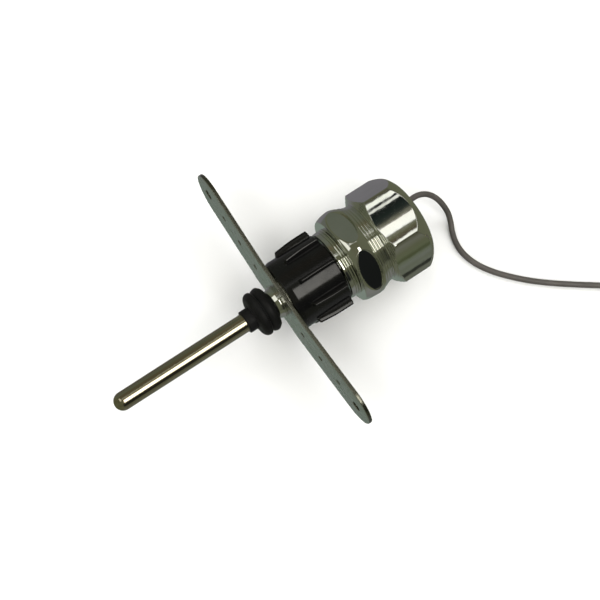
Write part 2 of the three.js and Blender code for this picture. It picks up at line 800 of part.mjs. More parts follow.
// The coil takes over where the route ends, in the same direction.
const [beforeLast, last] = leadRoute.slice(-2).map((point) => new THREE.Vector3(...point));
const heading = Math.atan2(last.y - beforeLast.y, last.x - beforeLast.x);
const coil = new THREE.Group();
coil.position.set(last.x + faceGap * Math.cos(heading), last.y + faceGap * Math.sin(heading), 0);
coil.rotation.z = heading;
part.add(coil);
const coilPoints = coilPath();
const coilEnd = coilPoints[coilPoints.length - 1];
const terminal = new THREE.Group();
terminal.position.set(coilEnd.x, coilEnd.y - faceGap, coilEnd.z);
terminal.rotation.z = -Math.PI / 2;
coil.add(terminal);

place(part, "lead_run", leadRun(), leadCover);
place(coil, "lead_coil", woundTube(coilPoints, leadRadius), leadCover);
place(coil, "lead_tie", leadTie(), blackPlastic);
place(terminal, "lead_connector", leadConnector(), brass);
place(terminal, "connector_sleeve", connectorSleeve(), sleeveVinyl);

const wound = leastGap(coilPoints, leadDiameter);
const leadLength = smoothCurve(leadRoute).getLength() + wound.length;
console.log(`coil: least gap to itself ${wound.gap.toFixed(2)} mm, lead ${leadLength.toFixed(1)} mm`);

export default part;
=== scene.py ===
"""A flame sensor probe on a pale floor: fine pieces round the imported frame, in metres.

The probe's own lengths are in millimetres until a mesh is made. The lead's full length and
those of the camera, floor and lights are in metres. A station is a place along the probe,
counted from the back face of the mounting strip. A turn is an angle round the probe's axis:
nought is up, and it grows from +Z towards -Y.
"""

import math

import bmesh
import bpy
import numpy as np
from mathutils import Matrix, Vector


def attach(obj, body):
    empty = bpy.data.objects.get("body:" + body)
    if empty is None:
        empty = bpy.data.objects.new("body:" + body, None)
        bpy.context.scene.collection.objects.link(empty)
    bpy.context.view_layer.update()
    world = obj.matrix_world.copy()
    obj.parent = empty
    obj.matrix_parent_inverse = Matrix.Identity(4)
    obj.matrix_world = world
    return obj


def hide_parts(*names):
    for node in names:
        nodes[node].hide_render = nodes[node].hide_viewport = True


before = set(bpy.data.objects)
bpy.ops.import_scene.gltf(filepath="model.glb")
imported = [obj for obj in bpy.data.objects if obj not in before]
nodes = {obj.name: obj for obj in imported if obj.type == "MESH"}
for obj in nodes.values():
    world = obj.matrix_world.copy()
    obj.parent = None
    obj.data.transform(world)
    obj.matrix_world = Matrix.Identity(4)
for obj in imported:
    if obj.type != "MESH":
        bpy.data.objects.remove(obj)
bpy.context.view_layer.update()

MM = 0.001
WELD = 1e-7
AXIS_HEIGHT = 15.55
STATION_SHIFT = 6.25
ORIGIN = np.array([STATION_SHIFT, 0.0, AXIS_HEIGHT])
scene = bpy.context.scene


def link(obj):
    scene.collection.objects.link(obj)
    return obj


# Camera, at the photograph's viewing angle.


def make_camera():
    azimuth = math.radians(-42.64)
    elevation = math.radians(74.19)
    roll = math.radians(8.75)
    distance = 0.7
    target = Vector((10.94, -3.59, 15.555)) * MM
    level = math.cos(elevation)
    back = Vector((math.sin(azimuth) * level, -math.cos(azimuth) * level, math.sin(elevation)))
    right = Vector((math.cos(azimuth), math.sin(azimuth), 0))
    up = back.cross(right)
    turned_right = right * math.cos(roll) + up * math.sin(roll)
    turned_up = up * math.cos(roll) - right * math.sin(roll)
    data = bpy.data.cameras.new("camera")
    data.sensor_width = 36
    data.angle = math.radians(15.93)
    data.clip_start = 0.01
    camera = link(bpy.data.objects.new("camera", data))
    place = Matrix((turned_right, turned_up, back)).transposed().to_4x4()
    place.translation = target + back * distance
    camera.matrix_world = place
    scene.camera = camera


make_camera()


# Mesh helpers.


def to_metres(points):
    """Station, y and height above the axis, to the row frame in metres."""
    return (np.asarray(points, float).reshape(-1, 3) + ORIGIN) * MM


def make_mesh(name, vertices, faces, sharp=35):
    """A mesh from points in metres. Doubles are joined, faces look outward, and steep edges stay sharp."""
    mesh = bpy.data.meshes.new(name)
    mesh.from_pydata([tuple(v) for v in vertices], [], faces)
    work = bmesh.new()
    work.from_mesh(mesh)
    bmesh.ops.remove_doubles(work, verts=work.verts, dist=WELD)
    bmesh.ops.dissolve_degenerate(work, edges=work.edges, dist=WELD)
    bmesh.ops.recalc_face_normals(work, faces=work.faces)
    work.to_mesh(mesh)
    work.free()
    mesh.shade_smooth()
    mesh.set_sharp_from_angle(angle=math.radians(sharp))
    return mesh


def make_piece(name, mesh, body, material, replaced=()):
    obj = link(bpy.data.objects.new(name, mesh))
    mesh.materials.append(material)
    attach(obj, body)
    if replaced:
        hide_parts(*replaced)
    return obj


def turns(sides):
    return np.arange(sides) * 2 * math.pi / sides


def wrapped(rows, angles, looped=True):
    """Vertices and faces of a skin round the axis.

    A row is a station and its radii, one for each angle or one for all.
    A looped skin joins its last row to its first. An open one ends on the axis.
    """
    count = len(angles)
    vertices = []
    for station, radii in rows:
        radii = np.broadcast_to(np.asarray(radii, float), (count,))
        ring = np.stack([np.full(count, station), -radii * np.sin(angles), radii * np.cos(angles)], 1)
        vertices.append(ring)
    faces = []
    last = len(rows) if looped else len(rows) - 1
    for i in range(last):
        here, there = i * count, (i + 1) % len(rows) * count
        for k in range(count):
            n = (k + 1) % count
            faces.append((here + k, here + n, there + n, there + k))
    return to_metres(np.concatenate(vertices)), faces


def eased(points, reach, steps=4, looped=False):
    """The same outline with its corners rounded. Each corner is left and met again within reach."""
    under_half = 1 / 2.05
    points = [np.asarray(p, float) for p in points]
    out = []
    for i, corner in enumerate(points):
        if not looped and i in (0, len(points) - 1):
            out.append(tuple(corner))
            continue
        before, after = points[i - 1], points[(i + 1) % len(points)]
        back, on = before - corner, after - corner
        reach_back = min(reach, np.linalg.norm(back) * under_half)
        reach_on = min(reach, np.linalg.norm(on) * under_half)
        start = corner + back / np.linalg.norm(back) * reach_back
        end = corner + on / np.linalg.norm(on) * reach_on
        for s in range(steps + 1):
            t = s / steps
            out.append(tuple((1 - t) ** 2 * start + 2 * t * (1 - t) * corner + t * t * end))
    return out


def turned(outline, sides, reach=0.12):
    """A turned skin from outline points, each a station and a radius."""
    return wrapped(eased(outline, reach, looped=True), turns(sides))


def arc(station, radius, bend, start, end, steps):
    """Points of a round in the outline, centred on a station and radius, between two angles in degrees."""
    spread = np.radians(np.linspace(start, end, steps + 1))
    return [(station + bend * math.cos(a), radius + bend * math.sin(a)) for a in spread]


def smooth_step(value, low, high):
    t = np.clip((value - low) / (high - low), 0, 1)
    return t * t * (3 - 2 * t)


def soft_least(a, b, blend):
    """The smaller of two values, with the crease between them rounded over about the blend."""
    h = np.clip(0.5 + 0.5 * (b - a) / blend, 0, 1)
    return b * (1 - h) + a * h - blend * h * (1 - h)


def spline(points, steps):
    """Points of a centripetal curve through the points."""
    p = np.asarray(points, float)
    p = np.vstack([2 * p[0] - p[1], p, 2 * p[-1] - p[-2]])
    out = []
    for i in range(1, len(p) - 2):
        quad = p[i - 1:i + 3]
        knots = np.concatenate([[0], np.cumsum(np.linalg.norm(np.diff(quad, axis=0), axis=1) ** 0.5)])
        for s in range(steps):
            t = knots[1] + (knots[2] - knots[1]) * s / steps
            level = list(quad)
            for low, high in ((0, 1), (0, 2), (1, 2)):
                level = [
                    (level[j] * (knots[j + high] - t) + level[j + 1] * (t - knots[j + low]))
                    / (knots[j + high] - knots[j + low])
                    for j in range(len(level) - 1)
                ]
            out.append(level[0])
    out.append(p[-2])
    return np.array(out)


def smooth_profile(profile, steps):
    line = spline([(s, r, 0) for s, r in profile], steps)
    return [(float(p[0]), float(p[1])) for p in line]


def tube(path, radius, sides=16):
    """Vertices and faces of a closed tube along a path in millimetres, in the row frame."""
    path = np.asarray(path, float)
    ahead = np.gradient(path, axis=0)
    ahead /= np.linalg.norm(ahead, axis=1)[:, None]
    side = np.cross([0, 0, 1], ahead[0])
    side = side if np.linalg.norm(side) > 1e-3 else np.array([0.0, 1.0, 0.0])
    vertices = []
    around = turns(sides)
    for point, direction in zip(path, ahead):
        side = side - direction * side.dot(direction)
        side /= np.linalg.norm(side)
        over = np.cross(direction, side)
        vertices.append(point + radius * (np.cos(around)[:, None] * side + np.sin(around)[:, None] * over))
    faces = []
    for i in range(len(path) - 1):
        for k in range(sides):
            n = (k + 1) % sides
            faces.append((i * sides + k, i * sides + n, (i + 1) * sides + n, (i + 1) * sides + k))
    faces.append(tuple(range(sides - 1, -1, -1)))
    faces.append(tuple((len(path) - 1) * sides + k for k in range(sides)))
    return np.concatenate(vertices) * MM, faces


# Materials.


class Finish:
    """A procedural material on the principled shader, with helpers that add its nodes."""

    def __init__(self, name, metallic=0.0, **inputs):
        self.material = bpy.data.materials.new(name)
        self.material.use_nodes = True
        self.tree = self.material.node_tree
        self.shader = self.tree.nodes["Principled BSDF"]
        self.shader.inputs["Metallic"].default_value = metallic
        for socket, value in inputs.items():
            self.shader.inputs[socket.replace("_", " ")].default_value = value
        coordinates = self.tree.nodes.new("ShaderNodeTexCoord")
        self.place = coordinates.outputs["Object"]
        self.normal = coordinates.outputs["Normal"]

    def join(self, output, target):
        self.tree.links.new(output, target)

    def noise(self, scale, detail=3, stretch=(1, 1, 1), rough=0.5):
        mapping = self.tree.nodes.new("ShaderNodeMapping")
        mapping.inputs["Scale"].default_value = stretch
        self.join(self.place, mapping.inputs["Vector"])
        texture = self.tree.nodes.new("ShaderNodeTexNoise")
        texture.inputs["Scale"].default_value = scale
        texture.inputs["Detail"].default_value = detail
        texture.inputs["Roughness"].default_value = rough
        self.join(mapping.outputs["Vector"], texture.inputs["Vector"])
        return texture.outputs["Fac"]

    def ramp(self, source, stops):
        """Colours along a value. Stops are a place and a linear colour."""
        node = self.tree.nodes.new("ShaderNodeValToRGB")
        elements = node.color_ramp.elements
        while len(elements) < len(stops):
            elements.new(1)
        for element, (place, colour) in zip(elements, stops):
            element.position = place
            element.color = (*colour, 1)
        self.join(source, node.inputs["Fac"])
        return node.outputs["Color"]

    def span(self, source, low, high, start=0.3, end=0.7):
        node = self.tree.nodes.new("ShaderNodeMapRange")
        node.inputs["From Min"].default_value = start
        node.inputs["From Max"].default_value = end
        node.inputs["To Min"].default_value = low
        node.inputs["To Max"].default_value = high
        self.join(source, node.inputs["Value"])
        return node.outputs["Result"]

    def colour(self, source, stops):
        self.join(self.ramp(source, stops), self.shader.inputs["Base Color"])

    def colour_with_shaded_edges(self, source, stops, edge):
        """Colours along a value on the faces that look fore and aft, and one dark colour on their edges:
        partly the duller sheared metal, partly painted shade for the dark reflection the edges show.
        """
        edge_share, face_share = 0.2, 0.5
        split = self.tree.nodes.new("ShaderNodeSeparateXYZ")
        self.join(self.normal, split.inputs[0])
        size = self.tree.nodes.new("ShaderNodeMath")
        size.operation = "ABSOLUTE"
        self.join(split.outputs["X"], size.inputs[0])
        mix = self.tree.nodes.new("ShaderNodeMix")
        mix.data_type = "RGBA"
        self.join(self.span(size.outputs[0], 0, 1, edge_share, face_share), mix.inputs["Factor"])
        mix.inputs["A"].default_value = (*edge, 1)
        self.join(self.ramp(source, stops), mix.inputs["B"])
        self.join(mix.outputs["Result"], self.shader.inputs["Base Color"])

    def roughness(self, source, low, high):
        self.join(self.span(source, low, high), self.shader.inputs["Roughness"])

    def bump(self, source, depth):
        """Relief of a depth in millimetres."""
        node = self.tree.nodes.new("ShaderNodeBump")
        node.inputs["Distance"].default_value = depth * MM
        self.join(source, node.inputs["Height"])
        self.join(node.outputs["Normal"], self.shader.inputs["Normal"])


def rod_steel():
    finish = Finish("rod_steel", metallic=1)
    streaks = finish.noise(900, detail=4, stretch=(0.02, 1, 1))
    finish.colour(streaks, [(0.3, (0.54, 0.49, 0.35)), (0.7, (0.7, 0.65, 0.5))])
    finish.roughness(finish.noise(260, stretch=(0.05, 1, 1)), 0.12, 0.18)
    finish.bump(streaks, 0.004)
    return finish.material


def insulator():
    finish = Finish("insulator", Subsurface_Weight=0.1, Subsurface_Scale=0.001)
    finish.colour(finish.noise(150), [(0.3, (0.78, 0.75, 0.67)), (0.7, (0.86, 0.84, 0.78))])
    finish.roughness(finish.noise(600), 0.38, 0.5)
    finish.bump(finish.noise(2500, detail=2), 0.01)
    return finish.material


def black_rubber():
    finish = Finish("black_rubber", Sheen_Weight=0.02, Sheen_Roughness=0.4, Specular_IOR_Level=0.22)
    finish.colour(finish.noise(220, detail=5), [(0.3, (0.003, 0.003, 0.003)), (0.7, (0.006, 0.006, 0.006))])
    finish.roughness(finish.noise(500), 0.42, 0.6)
    finish.bump(finish.noise(3200, detail=4), 0.02)
    return finish.material


def bright_plate():
    finish = Finish("bright_plate", metallic=1)
    finish.colour(finish.noise(120), [(0.3, (0.8, 0.82, 0.75)), (0.7, (0.87, 0.88, 0.83))])
    finish.roughness(finish.noise(420, detail=5), 0.01, 0.035)
    finish.bump(finish.noise(260, detail=2), 0.003)
    return finish.material


def zinc_steel():
    finish = Finish("zinc_steel", metallic=1)
    finish.colour_with_shaded_edges(
        finish.noise(90, detail=6, rough=0.6),
        [(0.3, (0.6, 0.64, 0.58)), (0.5, (0.68, 0.69, 0.66)), (0.7, (0.74, 0.7, 0.71))],
        # Edge colour: duller sheared metal, darkened as painted shade for the edges' dark reflection.
        (0.23, 0.23, 0.19),
    )
    finish.roughness(finish.noise(700, detail=4), 0.2, 0.32)
    finish.bump(finish.noise(1500, detail=3, stretch=(1, 0.3, 1)), 0.01)
    return finish.material


def fibre():
    finish = Finish("fibre")
    finish.colour(finish.noise(700, detail=6), [(0.3, (0.2, 0.05, 0.03)), (0.7, (0.32, 0.1, 0.06))])
    finish.roughness(finish.noise(900), 0.65, 0.85)
    finish.bump(finish.noise(2200, detail=5), 0.03)
    return finish.material


def black_plastic():
    finish = Finish("black_plastic")
    stops = [(0.3, (0.0025, 0.0025, 0.0025)), (0.7, (0.004, 0.004, 0.004))]
    finish.colour(finish.noise(160, detail=4), stops)
    finish.roughness(finish.noise(520, detail=4), 0.12, 0.17)
    finish.bump(finish.noise(2600, detail=3), 0.004)
    return finish.material


def terminal_brass():
    finish = Finish("terminal_brass", metallic=1)
    finish.colour(finish.noise(200, detail=4), [(0.3, (0.66, 0.52, 0.26)), (0.7, (0.74, 0.62, 0.36))])
    finish.roughness(finish.noise(800), 0.2, 0.34)
    finish.bump(finish.noise(1400, detail=3, stretch=(0.2, 1, 1)), 0.01)
    return finish.material


def lead_cover():
    finish = Finish("lead_cover", Coat_Weight=0.15, Coat_Roughness=0.3)
    finish.colour(finish.noise(180, detail=4), [(0.3, (0.06, 0.054, 0.049)), (0.7, (0.082, 0.074, 0.067))])
    finish.roughness(finish.noise(450), 0.36, 0.5)
    finish.bump(finish.noise(1800, detail=3), 0.015)
    return finish.material


def sleeve_vinyl():
    finish = Finish("sleeve_vinyl", Coat_Weight=0.3, Coat_Roughness=0.15)
    finish.colour(finish.noise(200), [(0.3, (0.016, 0.016, 0.019)), (0.7, (0.026, 0.026, 0.03))])
    finish.roughness(finish.noise(500), 0.24, 0.36)
    finish.bump(finish.noise(1200), 0.012)
    return finish.material


finishes = {
    make.__name__: make()
    for make in (
        rod_steel, insulator, black_rubber, bright_plate, zinc_steel,
        fibre, black_plastic, terminal_brass, lead_cover, sleeve_vinyl,
    )
}


def skin(name, body, slot, vertices_faces, replaced=(), sharp=35):
    mesh = make_mesh(name, *vertices_faces, sharp=sharp)
    return make_piece(name, mesh, body, finishes[slot], replaced)


# Lead. Its route repeats the frame's own points.

LEAD_DIAMETER = 2
LEAD_ROUTE = [
    (49.85, 0, 15.55), (51.2, 0, 15.55), (53, 0.5, 15.55), (55, 1.75, 15.52), (57, 3.15, 15.46),
    (59, 4.25, 15.33), (61.4, 4.8, 15.08), (64.2, 4.8, 14.53), (66.8, 4.05, 13.35), (68.8, 2.7, 11.57),
    (70.3, 0.9, 9.4), (71.3, -1.4, 6.85), (71.7, -3.9, 4.35), (71.1, -6.6, 2.3), (70, -9.2, 1.3),
    (69, -12.3, 1.06), (68.6, -16, 1.06), (69.2, -20, 1.06), (70.9, -24.3, 1.06), (73.8, -28.8, 1.06),
    (77.7, -33.4, 1.06), (82.3, -38, 1.06), (87.5, -42.4, 1.06), (93, -46.6, 1.06), (98.8, -50.8, 1.08),
    (104.6, -55, 1.25), (110.4, -59.2, 1.5), (116.2, -63.4, 1.6),
]
FACE_GAP = 0.3
TURN_PITCH = LEAD_DIAMETER + 0.45
COIL_TURNS = 7.25
COIL_OUTER_RADIUS = 21 / 2 + TURN_PITCH * COIL_TURNS / 4
COIL_BASE = 1.6
COIL_TAIL = 16
CONNECTOR_HEIGHT = 2.15


def coil_radius(turn):
    return COIL_OUTER_RADIUS - TURN_PITCH * (COIL_TURNS / 2 - abs(turn - COIL_TURNS / 2))


def coil_path():
    """The coil's centre line in its own frame, where it starts at the origin along X and turns right."""
    steps_per_turn = 24
    half = COIL_TURNS / 2
    points = [(0, 0, COIL_BASE)]
    for i in range(round(COIL_TURNS * steps_per_turn) + 1):
        turn = i / steps_per_turn
        climb = float(smooth_step(turn - half, -1 / 4, 1 / 4))
        angle = turn * 2 * math.pi
        radius = coil_radius(turn)
        points.append((
            LEAD_DIAMETER + radius * math.sin(angle),
            radius * math.cos(angle) - COIL_OUTER_RADIUS,
            COIL_BASE + climb * TURN_PITCH,
        ))
    x, y, z = points[-1]
    tail_steps = 8
    ramp = COIL_TAIL - LEAD_DIAMETER
    for i in range(1, tail_steps + 1):
        run = ramp * i / tail_steps
        drop = float(smooth_step(run, LEAD_DIAMETER, ramp)) * (z - CONNECTOR_HEIGHT)
        points.append((x, y - run, z - drop))
    points.append((x, y - COIL_TAIL, CONNECTOR_HEIGHT))
    return np.array(points, float)


coil_heading = math.atan2(-4.2, 5.8)
coil_start = np.array([LEAD_ROUTE[-1][0], LEAD_ROUTE[-1][1], 0.0])
coil_start += FACE_GAP * np.array([math.cos(coil_heading), math.sin(coil_heading), 0.0])


def from_coil(points):
    """Points of the coil's frame in the row frame, in millimetres."""
    points = np.asarray(points, float).reshape(-1, 3)
    c, s = math.cos(coil_heading), math.sin(coil_heading)
    turn = np.array([[c, s, 0], [-s, c, 0], [0, 0, 1]])
    return points @ turn + coil_start


def lead_line():
    coil = from_coil(coil_path())
    return np.vstack([spline(LEAD_ROUTE, 6)[:-1], spline(coil, 2)])


def make_lead():
    line = lead_line()
    lead = skin("lead", "root", "lead_cover", tube(line, LEAD_DIAMETER / 2), ["lead_run", "lead_coil"])
    return lead, [tuple(p) for p in line * MM]


lead, lead_points = make_lead()


def make_inner_lead():
    start, seal_start, end, aside = 32.05, 40.6, 43.5, 4.9
    shares = [(0, 1), (0.12, 1), (0.3, 0.86), (0.5, 0.5), (0.7, 0.14), (0.88, 0), (1, 0)]
    points = [(start + (seal_start - start) * along, aside * out, 0) for along, out in shares]
    points += [((seal_start + end) / 2, 0, 0), (end, 0, 0)]
    line = spline(np.array(points) + ORIGIN, 5)
    skin("lead_inside", "root", "lead_cover", tube(line, LEAD_DIAMETER / 2), ["inner_lead"])


make_inner_lead()


def flat_band(outline, inner, front, back):
    """A closed strap between two outlines of as many points, from one depth to the other."""
    count = len(outline)
    vertices, faces = [], []
    for depth, line in ((front, outline), (back, outline), (back, inner), (front, inner)):
        vertices += [(x, z, depth) for x, z in line]
    for i in range(4):
        here, there = i * count, (i + 1) % 4 * count
        for k in range(count):
            n = (k + 1) % count
            faces.append((here + k, here + n, there + n, there + k))
    return np.array(vertices, float), faces


def rounded_box(half_width, half_height, corner, steps):
    points = []
    centres = [(1, 1), (-1, 1), (-1, -1), (1, -1)]
    for i, (sx, sz) in enumerate(centres):
        for s in range(steps + 1):
            a = math.pi / 2 * (i + s / steps)
            x = sx * (half_width - corner) + corner * math.cos(a)
            z = sz * (half_height - corner) + corner * math.sin(a)
            points.append((x, z))
    return points


def make_tie():
    columns, turn, width, thickness, steps = 4, 1 / 8, 2.5, 0.3, 8
    half_width = (columns - 1) * TURN_PITCH / 2 + LEAD_DIAMETER / 2 + FACE_GAP
    half_height = TURN_PITCH / 2 + LEAD_DIAMETER / 2 + FACE_GAP
    corner = LEAD_DIAMETER / 2
    outer = rounded_box(half_width + thickness, half_height + thickness, corner + thickness, steps)
    inner = rounded_box(half_width, half_height, corner, steps)
    band, faces = flat_band(outer, inner, -width / 2, width / 2)
    angle = turn * 2 * math.pi
    middle = coil_radius(turn) - (columns - 1) * TURN_PITCH / 2
    across = np.array([math.sin(angle), math.cos(angle), 0])
    along = np.array([math.cos(angle), -math.sin(angle), 0])
    centre = np.array([LEAD_DIAMETER, -COIL_OUTER_RADIUS, COIL_BASE + TURN_PITCH / 2]) + middle * across
    points = centre + band[:, :1] * across + band[:, 1:2] * [0, 0, 1] + band[:, 2:] * along
    tie = skin("tie", "root", "sleeve_vinyl", (from_coil(points) * MM, faces), ["lead_tie"], sharp=50)
    rounding = 0.08
    edge = tie.modifiers.new("edge", "BEVEL")
    edge.width = rounding * MM
    edge.segments = 2
    return tie


tie = make_tie()
coil_end = coil_path()[-1]


def from_connector(points):
    """Points of the connector's frame, along its X from the end of its crimp barrel, in the row frame."""
    points = np.asarray(points, float).reshape(-1, 3)
    placed = np.stack([points[:, 1], -points[:, 0], points[:, 2]], 1)
    return from_coil(placed + coil_end + [0, -FACE_GAP, 0])


def connector_turned(outline):
    edge, sides = 0.08, 48
    vertices, faces = wrapped(eased(outline, edge, looped=True), turns(sides))
    return from_connector(vertices / MM - ORIGIN) * MM, faces


def crimp_barrel_outline(length, radius, bore):
    crimp, foot, floor = 0.25, 0.7, 0.3
    lip, lip_length = 0.1, 0.4
    outline = [(0, radius)]
    for middle in (1.8, 4):
        outline += [(middle - foot, radius), (middle - floor, radius - crimp)]
        outline += [(middle + floor, radius - crimp), (middle + foot, radius)]
    return outline + [(length, radius), (length, bore - lip), (lip_length, bore - lip), (0, bore)]


def prism_faces(first, count):
    """Faces between two rings of as many points that follow each other, and the faces that close them."""
    faces = [tuple(first + k for k in range(count - 1, -1, -1))]
    faces.append(tuple(first + count + k for k in range(count)))
    for k in range(count):
        n = (k + 1) % count
        faces.append((first + k, first + n, first + count + n, first + count + k))
    return faces


def make_connector():
    """Push-on receptacle: a crimp barrel with two crimps, a neck, and a plate with curled edges."""
    barrel_radius, bore, barrel_length, neck_end, end = 1.5, 1.15, 6, 8, 16
    half_blade, half_neck, thickness, curl, wall = 3.2, 1.1, 0.8, 1.0, 0.4
    root, flare, curl_start = barrel_length - 3, 0.6, neck_end + 0.5
    half_plan = [(root, half_neck), (neck_end - flare, half_neck)]
    half_plan += [(neck_end + flare, half_blade), (end, half_blade)]
    plan = eased([(x, -y) for x, y in half_plan] + half_plan[::-1], flare, steps=3, looped=True)
    prisms = [[(x, y, z) for z in (-curl, thickness - curl) for x, y in plan]]
    sides, opening = 20, math.radians(40)
    spread = np.linspace(-math.pi / 2, math.pi * 1.5 - 2 * opening, sides)
    for side in (-1, 1):
        section = []
        for radius, angles in ((curl, spread), (curl - wall, spread[::-1])):
            section += [(side * (half_blade + radius * math.cos(a)), radius * math.sin(a)) for a in angles]
        prisms.append([(x, y, z) for x in (curl_start, end) for y, z in section])
    vertices, faces = connector_turned(crimp_barrel_outline(barrel_length, barrel_radius, bore))
    for points in prisms:
        faces += prism_faces(len(vertices), len(points) // 2)
        vertices = np.concatenate([vertices, from_connector(points) * MM])
    return skin("connector", "root", "terminal_brass", (vertices, faces), ["lead_connector"])


def make_connector_sleeve():
    bore, wall, length = 1.65, 0.5, 9
    front = -1.5
    outline = [(front, bore), (front, bore + wall), (front + length, bore + wall), (front + length, bore)]
    return skin("connector_cover", "root", "sleeve_vinyl", connector_turned(outline), ["connector_sleeve"])


connector = make_connector()
connector_cover = make_connector_sleeve()


# Pieces of the probe.

ROD_RADIUS = 3.175
ROD_TIP = -64.8
ROD_SHOULDER = 21.35
ROD_BORE = 4.075
STRIP_FRONT = -1.3
STRIP_BORE = 4.825
NIPPLE_FRONT = -4.6
SEAL_FRONT = -14.6


def thread(start, end, major, minor, pitch):
    """Outline of thread ridges from one station to the other."""
    count = int((end - start) / pitch)
    step = (end - start) / count
    points = []
    for i in range(count):
        points += [(start + i * step, minor), (start + (i + 0.5) * step, major)]
    return points + [(end, minor)]


def make_rod():
    stud_length, stud_radius, thread_depth, pitch = 10.4, 1.6, 0.25, 0.6
    relief, chamfer, end_radius = 0.4, 0.3, 1.2
    dome = arc(ROD_TIP + ROD_RADIUS, 0, ROD_RADIUS, 180, 90, 16)
    dome[0] = (ROD_TIP, 0)
    body = [(s, ROD_RADIUS) for s in (-55, -45, -35, -25, -15, -5, 5, 15)]
    back = ROD_SHOULDER + stud_length
    root = stud_radius - thread_depth
    stud = thread(ROD_SHOULDER + relief, back - chamfer, stud_radius, root, pitch)
    outline = dome + body + [(ROD_SHOULDER, ROD_RADIUS), (ROD_SHOULDER, root)] + stud
    outline += [(back, end_radius), (back, 0)]
    skin("rod", "root", "rod_steel", wrapped(outline, turns(96), looped=False), ["sensing_rod"])


# The seal's outline, seen in the photograph: a plain neck, then two round ribs.
SEAL_PROFILE = [
    (-14.6, 3.75), (-14.45, 3.95), (-11.5, 3.95), (-11.42, 5.2), (-11.2, 6.3), (-10.85, 7), (-10.35, 7.5),
    (-9.8, 7.78), (-9.2, 7.85), (-8.7, 7.75), (-8.35, 7.45), (-8.15, 7.05), (-8, 7.1), (-7.6, 7.5),
    (-7, 7.78), (-6.4, 7.9), (-5.9, 7.85), (-5.4, 7.55), (-4.95, 7.15), (-4.6, 6.8),
]


def make_seal():
    bore, rib_start, valley, steps = 3.35, 3, 11, 3
    outside = SEAL_PROFILE[:rib_start] + smooth_profile(SEAL_PROFILE[rib_start:valley], steps)
    outside += smooth_profile(SEAL_PROFILE[valley:], steps)
    loop = outside + [(NIPPLE_FRONT, bore), (SEAL_FRONT, bore)]
    skin("seal", "root", "black_rubber", wrapped(loop, turns(128)), ["front_seal"])


def make_nipple():
    front_radius, collar, cone_end = 4.75, 5.65, NIPPLE_FRONT + 2.4
    shank, relief, thread_depth, pitch = 4.675, 0.3, 0.35, 1.0
    relief_end, thread_start, back = 0.4, 0.6, 9.3
    outline = [(NIPPLE_FRONT, ROD_BORE), (NIPPLE_FRONT, front_radius), (cone_end, collar)]
    outline += [(STRIP_FRONT, collar), (STRIP_FRONT, shank - relief), (relief_end, shank - relief)]
    outline += thread(thread_start, back, shank, shank - thread_depth, pitch) + [(back, ROD_BORE)]
    skin("nipple", "root", "bright_plate", turned(outline, 128), ["threaded_nipple"])


def make_sleeve():
    bore, wall = 3.325, 0.6
    front, back = NIPPLE_FRONT + 0.3, 20.05
    outline = [(front, bore), (front, bore + wall), (back, bore + wall), (back, bore)]
    skin("insulating_sleeve", "root", "insulator", turned(outline, 96), ["rod_sleeve"])


# Mounting strip: a filled plan with rolled edges and real holes, bent at two knees.

STRIP_LENGTH = 100
STRIP_WIDTH = 19
STRIP_THICKNESS = 1.3
STRIP_EDGE = 0.22
KNEE = 12.45
SET_BACK = math.radians(2)


def circle(y, radius, sides):
    """Outline of a hole on the strip's middle line."""
    return [(y + radius * math.cos(t), radius * math.sin(t)) for t in turns(sides)]


def strip_outline():
    radius = STRIP_WIDTH / 2
    straight = STRIP_LENGTH / 2 - STRIP_WIDTH / 2
    points = []
    steps = 32
    for side in (1, -1):
        for s in range(steps + 1):
            a = math.pi * s / steps
            points.append((side * (straight + radius * math.sin(a)), side * radius * math.cos(a)))
    return points


def lean(y):
    """How far the strip is set back at a distance from the axis."""
    return np.maximum(np.abs(y) - KNEE, 0) * math.tan(SET_BACK)


def make_strip():
    """The plan is filled between its outline and holes, given thickness with rolled edges, then bent."""
    data = bpy.data.curves.new("strip", "CURVE")
    data.dimensions = "2D"
    data.fill_mode = "BOTH"
    data.extrude = (STRIP_THICKNESS / 2 - STRIP_EDGE) * MM
    data.bevel_depth = STRIP_EDGE * MM
    data.bevel_resolution = 4
    data.offset = -STRIP_EDGE * MM
    first, last, holes = 13.8, STRIP_LENGTH / 2 - 7, 4
    screw_radius, small_radius = 1.8, 1.0
    loops = [strip_outline(), circle(0, STRIP_BORE, 96)]
    for side in (-1, 1):
        for i in range(holes):
            share = i / (holes - 1)
            radius = screw_radius if i == holes - 1 else small_radius
            loops.append(circle(side * (first + (last - first) * share), radius, 40))
    for loop in loops:
        line = data.splines.new("POLY")
        line.points.add(len(loop) - 1)
        for point, (y, z) in zip(line.points, loop):
            point.co = (y * MM, z * MM, 0, 1)
        line.use_cyclic_u = True
    shape = link(bpy.data.objects.new("strip_shape", data))
    bpy.context.view_layer.update()
    mesh = bpy.data.meshes.new_from_object(shape.evaluated_get(bpy.context.evaluated_depsgraph_get()))
    bpy.data.objects.remove(shape)
    work = bmesh.new()
    work.from_mesh(mesh)
    bmesh.ops.remove_doubles(work, verts=work.verts, dist=WELD)
    for y in (-KNEE, KNEE):
        parts = work.verts[:] + work.edges[:] + work.faces[:]
        bmesh.ops.bisect_plane(work, geom=parts, plane_co=(y * MM, 0, 0), plane_no=(1, 0, 0))
    for vertex in work.verts:
        y, z, depth = vertex.co / MM
        station = -STRIP_THICKNESS / 2 + depth + float(lean(y))
        vertex.co = Vector((station, y, z)) * MM + Vector(ORIGIN) * MM
    bmesh.ops.recalc_face_normals(work, faces=work.faces)
    work.to_mesh(mesh)
    work.free()
    mesh.shade_smooth()
    mesh.set_sharp_from_angle(angle=math.radians(30))
    mesh.materials.clear()
    mesh.name = "strip"
    make_piece("strip", mesh, "strip", finishes["zinc_steel"], ["mounting_strip"])


